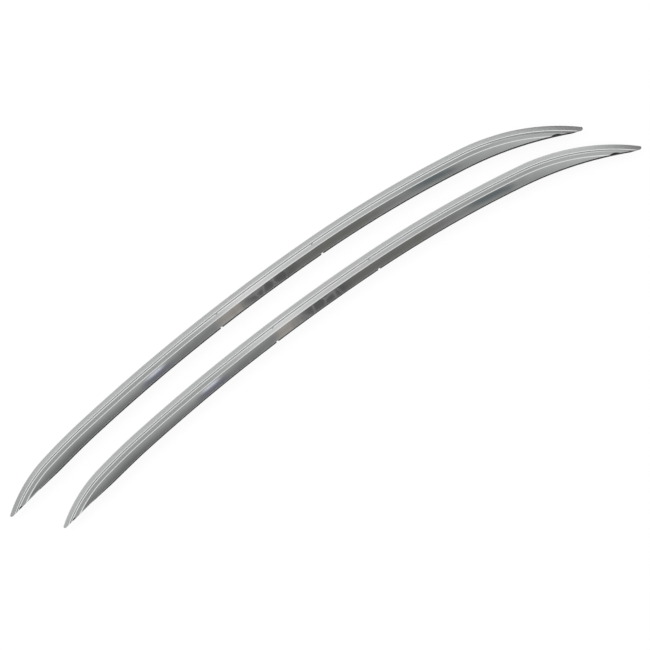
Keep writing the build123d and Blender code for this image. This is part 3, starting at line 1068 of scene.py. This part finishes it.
def wall_pattern(place):
    """Grey wall beside the crowns, with a paler window in its middle and darker ends."""
    x, _, z = axes(place)
    level = z / GREYS_HEIGHT
    wall = ramp(level, (0.0, 0.60), (0.22, 0.56), (0.32, 0.46), (0.75, 0.44))
    window = ramp(
        x / WINDOW_LENGTH + 0.5,
        (0.285, 0.0), (0.335, 1.0), (0.385, 1.0), (0.42, 0.62), (0.50, 0.44), (0.64, 0.38), (0.80, 0.0),
    )
    window = window + span_share(x, 2.0, 3.4) * 0.20
    lit = mix(window * ramp(level, (0.26, 0.0), (0.34, 1.0)), wall, WINDOW_WHITE)
    ends = span_share(x, -3.2, -5.4) * 0.45 + span_share(x, 4.0, 5.6) * 0.72
    return mix(ends * span_share(z, 3.4, 2.0), lit, WALL_END)


def strip_pattern(place):
    """Pale strip, brightest near the floor and darker at its front end."""
    x, _, z = axes(place)
    return mix(span_share(x, 0.72, 0.92), ramp(z * 20.0, (0.40, 0.95), (0.58, 0.60)), STRIP_END)


def tip_pattern(place):
    """Dark patch of floor off the front noses."""
    return ramp(axes(place)[0], (0.60, 0.60), (0.74, 0.10))


def card_object(bm, name, pattern, *given):
    """A card that only the metal sees, with a pattern on it."""
    card = object_from(bm, name)
    card.visible_camera = card.visible_diffuse = card.visible_shadow = card.visible_transmission = False
    made = bpy.data.materials.new(name)
    tree = empty_tree(made)
    shades = pattern(object_place(tree), *given)
    show(tree, add_node(tree, "ShaderNodeEmission", Color=shades, Strength=1.0))
    card.data.materials.append(made)


def flat_card(name, matrix, pattern, *given):
    """A card of one metre square, which a matrix sizes and places."""
    bm = bmesh.new()
    bmesh.ops.create_grid(bm, x_segments=1, y_segments=1, size=0.5, matrix=matrix)
    card_object(bm, name, pattern, *given)


def standing_card(bm, name, height, pattern):
    """A card that stands on a line on the floor."""
    raised = bmesh.ops.extrude_edge_only(bm, edges=list(bm.edges))["geom"]
    bmesh.ops.translate(bm, vec=(0, 0, height), verts=only(BMVert, raised))
    card_object(bm, name, pattern)


def strip_line(stage, size):
    """Line on the floor that follows the left rail's foot at some distance."""
    rear_reach, front_reach, bend_radius = 0.16, 0.20, 0.9
    bm = bmesh.new()
    crest = Vector((stage.strip_x, stage.strip_y, 0))
    tip = bm.verts.new(crest)
    roof_middle = crest - Vector((0, size.roof_radius, 0))
    rear = spin_on(bm, tip, roof_middle, size.rear_cut_angle, STRIP_FACET)
    line_on(bm, rear, rear.co - rear_reach * heading(size.rear_cut_angle))
    shoulder_middle = crest - Vector((0, size.front_shoulder_radius, 0))
    tip = spin_on(bm, tip, shoulder_middle, -size.front_shoulder_turn, STRIP_FACET)
    bend_middle = tip.co - bend_radius * outward(-size.front_shoulder_turn)
    tip = spin_on(bm, tip, bend_middle, -size.front_cut_angle + size.front_shoulder_turn, 2 * STRIP_FACET)
    line_on(bm, tip, tip.co + front_reach * heading(-size.front_cut_angle))
    bmesh.ops.rotate(bm, verts=bm.verts, cent=crest, matrix=Matrix.Rotation(lean(size, "left"), 3, "Z"))
    return bm


def make_cards(stage, arch):
    """Ceiling over the flanks, walls all round, strip between the rails and patch off the noses."""
    width, height, far = stage.wall_length, stage.wall_height, stage.wall_distance
    over = Matrix.Translation((0, 0, stage.ceiling_height))
    over = over @ Matrix.Diagonal((stage.ceiling_width, stage.ceiling_width, 1, 1))
    flat_card("ceiling_card", over, ceiling_pattern, stage, arch)
    beside = Matrix.Translation((0, far, height / 2)) @ Matrix.Rotation(pi / 2, 4, "X")
    flat_card("wall_card", beside @ Matrix.Diagonal((width, height, 1, 1)), wall_pattern)
    bm = bmesh.new()
    half, gap = width / 2, 0.01
    tip = bm.verts.new((-half, far - gap, 0))
    for corner in ((-half, -far, 0), (half, -far, 0), (half, far - gap, 0)):
        tip = line_on(bm, tip, corner)
    standing_card(bm, "round_card", height, round_pattern)
    standing_card(strip_line(stage, arch), "strip_card", stage.strip_height, strip_pattern)
    patch = Matrix.Diagonal((stage.tip_length, stage.tip_width, 1, 1))
    flat_card("tip_card", Matrix.Translation(stage.tip_place) @ patch, tip_pattern)


def make_key(stage):
    """Soft lamp that looks at the origin."""
    lamp = bpy.data.lights.new("soft_key", "AREA")
    lamp.shape = "DISK"
    lamp.size = stage.key_size
    lamp.energy = stage.key_power
    key = bpy.data.objects.new("soft_key", lamp)
    key.location = stage.key_place
    key.rotation_euler = (-key.location).to_track_quat("-Z", "Y").to_euler()
    key.visible_glossy = False
    bpy.context.scene.collection.objects.link(key)


def make_camera(stage):
    """Camera that looks straight down."""
    lens = bpy.data.cameras.new("photo_camera")
    lens.lens = stage.focal_length
    lens.sensor_width = 36.0
    lens.clip_end = 100.0
    camera = bpy.data.objects.new("photo_camera", lens)
    camera.location = (stage.camera_x, stage.camera_y, stage.camera_height)
    camera.rotation_euler = (0, 0, stage.camera_turn)
    bpy.context.scene.collection.objects.link(camera)
    bpy.context.scene.camera = camera


# Operators


class ROOFRAILS_OT_rail_bars(bpy.types.Operator):
    """Makes both polished rail bars in place of the plain ones"""

    bl_idname = "roofrails.rail_bars"
    bl_label = "Rail Bars"

    def execute(self, context):
        chosen = context.scene.roof_rails
        size = chosen.section
        arch = Arch(chosen.arch, size.height)
        bar = swept_bar(arch, size)
        carve(bar, trim_block(arch, size, chosen.arch), "INTERSECT")
        carve(bar, notch_tools(arch, size), "DIFFERENCE")
        ease_foot(bar, size)
        dress_bar(bar.data, arch)
        metals = (bar_metal(size, chosen.finish), sawn_metal(chosen.finish))
        for side in SIDES:
            node = f"{side}_rail_bar"
            mesh = bar.data.copy()
            mesh.transform(Matrix.Rotation(lean(chosen.arch, side), 4, "Z"))
            low = Vector(min(v.co[i] for v in mesh.vertices) for i in range(3))
            mesh.transform(Matrix.Translation(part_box(node)[0] - low))
            for metal in metals:
                mesh.materials.append(metal)
            rail = mesh_object(f"{side}_polished_bar", mesh)
            rail.modifiers.new("even_shading", "WEIGHTED_NORMAL").keep_sharp = True
            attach(rail, "root")
            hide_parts(node)
        bpy.data.objects.remove(bar)
        return {"FINISHED"}


class ROOFRAILS_OT_foot_seals(bpy.types.Operator):
    """Thins the outer ends of the foot seals and gives all of them their black rubber"""

    bl_idname = "roofrails.foot_seals"
    bl_label = "Foot Seals"

    def execute(self, context):
        chosen = context.scene.roof_rails
        size = chosen.section
        shade = chosen.finish.rubber
        rubber = moulded_black("seal_rubber", shade, grain_scale=700.0, rough=0.72, depth=0.0001)
        finish_nodes(("middle_foot_seal",), rubber)
        ends = (
            ("rear", chosen.arch.rear_cut_angle, -1, size.rear_seal_taper),
            ("front", -chosen.arch.front_cut_angle, 1, size.front_seal_taper),
        )
        for side in SIDES:
            for end, slope, way, run in ends:
                node = f"{side}_{end}_foot_seal"
                seal = thinned_seal(node, slope + lean(chosen.arch, side), way, run, size)
                seal.data.materials.append(rubber)
                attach(seal, "root")
                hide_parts(node)
        return {"FINISHED"}


class ROOFRAILS_OT_bolt_pads(bpy.types.Operator):
    """Gives the bolt pads their soft rubber"""

    bl_idname = "roofrails.bolt_pads"
    bl_label = "Bolt Pads"

    def execute(self, context):
        shade = context.scene.roof_rails.finish.rubber
        foam = moulded_black("pad_rubber", shade, grain_scale=420.0, rough=0.85, depth=0.0002)
        finish_nodes(("bolt_pads",), foam)
        return {"FINISHED"}


class ROOFRAILS_OT_end_plugs(bpy.types.Operator):
    """Gives the end plugs their grained plastic"""

    bl_idname = "roofrails.end_plugs"
    bl_label = "End Plugs"

    def execute(self, context):
        shade = context.scene.roof_rails.finish.plastic
        plastic = moulded_black("plug_plastic", shade, grain_scale=1100.0, rough=0.52, depth=0.00006)
        finish_nodes(("rear_end_plug", "front_end_plug"), plastic)
        return {"FINISHED"}


class ROOFRAILS_OT_fixings(bpy.types.Operator):
    """Gives the slot nuts their zinc plate and the nut springs their bright steel"""

    bl_idname = "roofrails.fixings"
    bl_label = "Slot Nuts and Springs"

    def execute(self, context):
        finish = context.scene.roof_rails.finish
        zinc = plated_steel("zinc_plate", finish.zinc, flake_scale=420.0, rough=0.34)
        steel = plated_steel("spring_steel", finish.spring, flake_scale=900.0, rough=0.26)
        finish_nodes(("slot_nuts",), zinc)
        finish_nodes(("nut_springs",), steel)
        return {"FINISHED"}


class ROOFRAILS_OT_stage(bpy.types.Operator):
    """Sets the floor, the light, the cards and the camera"""

    bl_idname = "roofrails.stage"
    bl_label = "Stage"

    def execute(self, context):
        chosen = context.scene.roof_rails
        context.scene.view_settings.view_transform = "Standard"
        make_world(chosen.stage.world_light)
        make_floor(chosen.stage.floor_glow)
        make_cards(chosen.stage, chosen.arch)
        make_key(chosen.stage)
        make_camera(chosen.stage)
        return {"FINISHED"}


OPERATORS = (
    ROOFRAILS_OT_rail_bars,
    ROOFRAILS_OT_foot_seals,
    ROOFRAILS_OT_bolt_pads,
    ROOFRAILS_OT_end_plugs,
    ROOFRAILS_OT_fixings,
    ROOFRAILS_OT_stage,
)


class ROOFRAILS_PT_panel(bpy.types.Panel):
    """Lists the pieces of the rails"""

    bl_idname = "ROOFRAILS_PT_panel"
    bl_label = "Roof Rails"
    bl_space_type = "VIEW_3D"
    bl_region_type = "UI"
    bl_category = "Roof Rails"

    def draw(self, context):
        for operator in OPERATORS:
            self.layout.operator(operator.bl_idname)


CLASSES = (RailArch, RailSection, RailFinish, RailStage, RailSettings, *OPERATORS, ROOFRAILS_PT_panel)


def register():
    """Registers the classes and the scene's settings."""
    for made in CLASSES:
        bpy.utils.register_class(made)
    bpy.types.Scene.roof_rails = PointerProperty(type=RailSettings)


def unregister():
    """Takes the settings and the classes out again."""
    del bpy.types.Scene.roof_rails
    for made in reversed(CLASSES):
        bpy.utils.unregister_class(made)


def main():
    """Dresses the rails."""
    register()
    bpy.ops.roofrails.rail_bars()
    bpy.ops.roofrails.foot_seals()
    bpy.ops.roofrails.bolt_pads()
    bpy.ops.roofrails.end_plugs()
    bpy.ops.roofrails.fixings()
    bpy.ops.roofrails.stage()


if __name__ == "__main__":
    main()
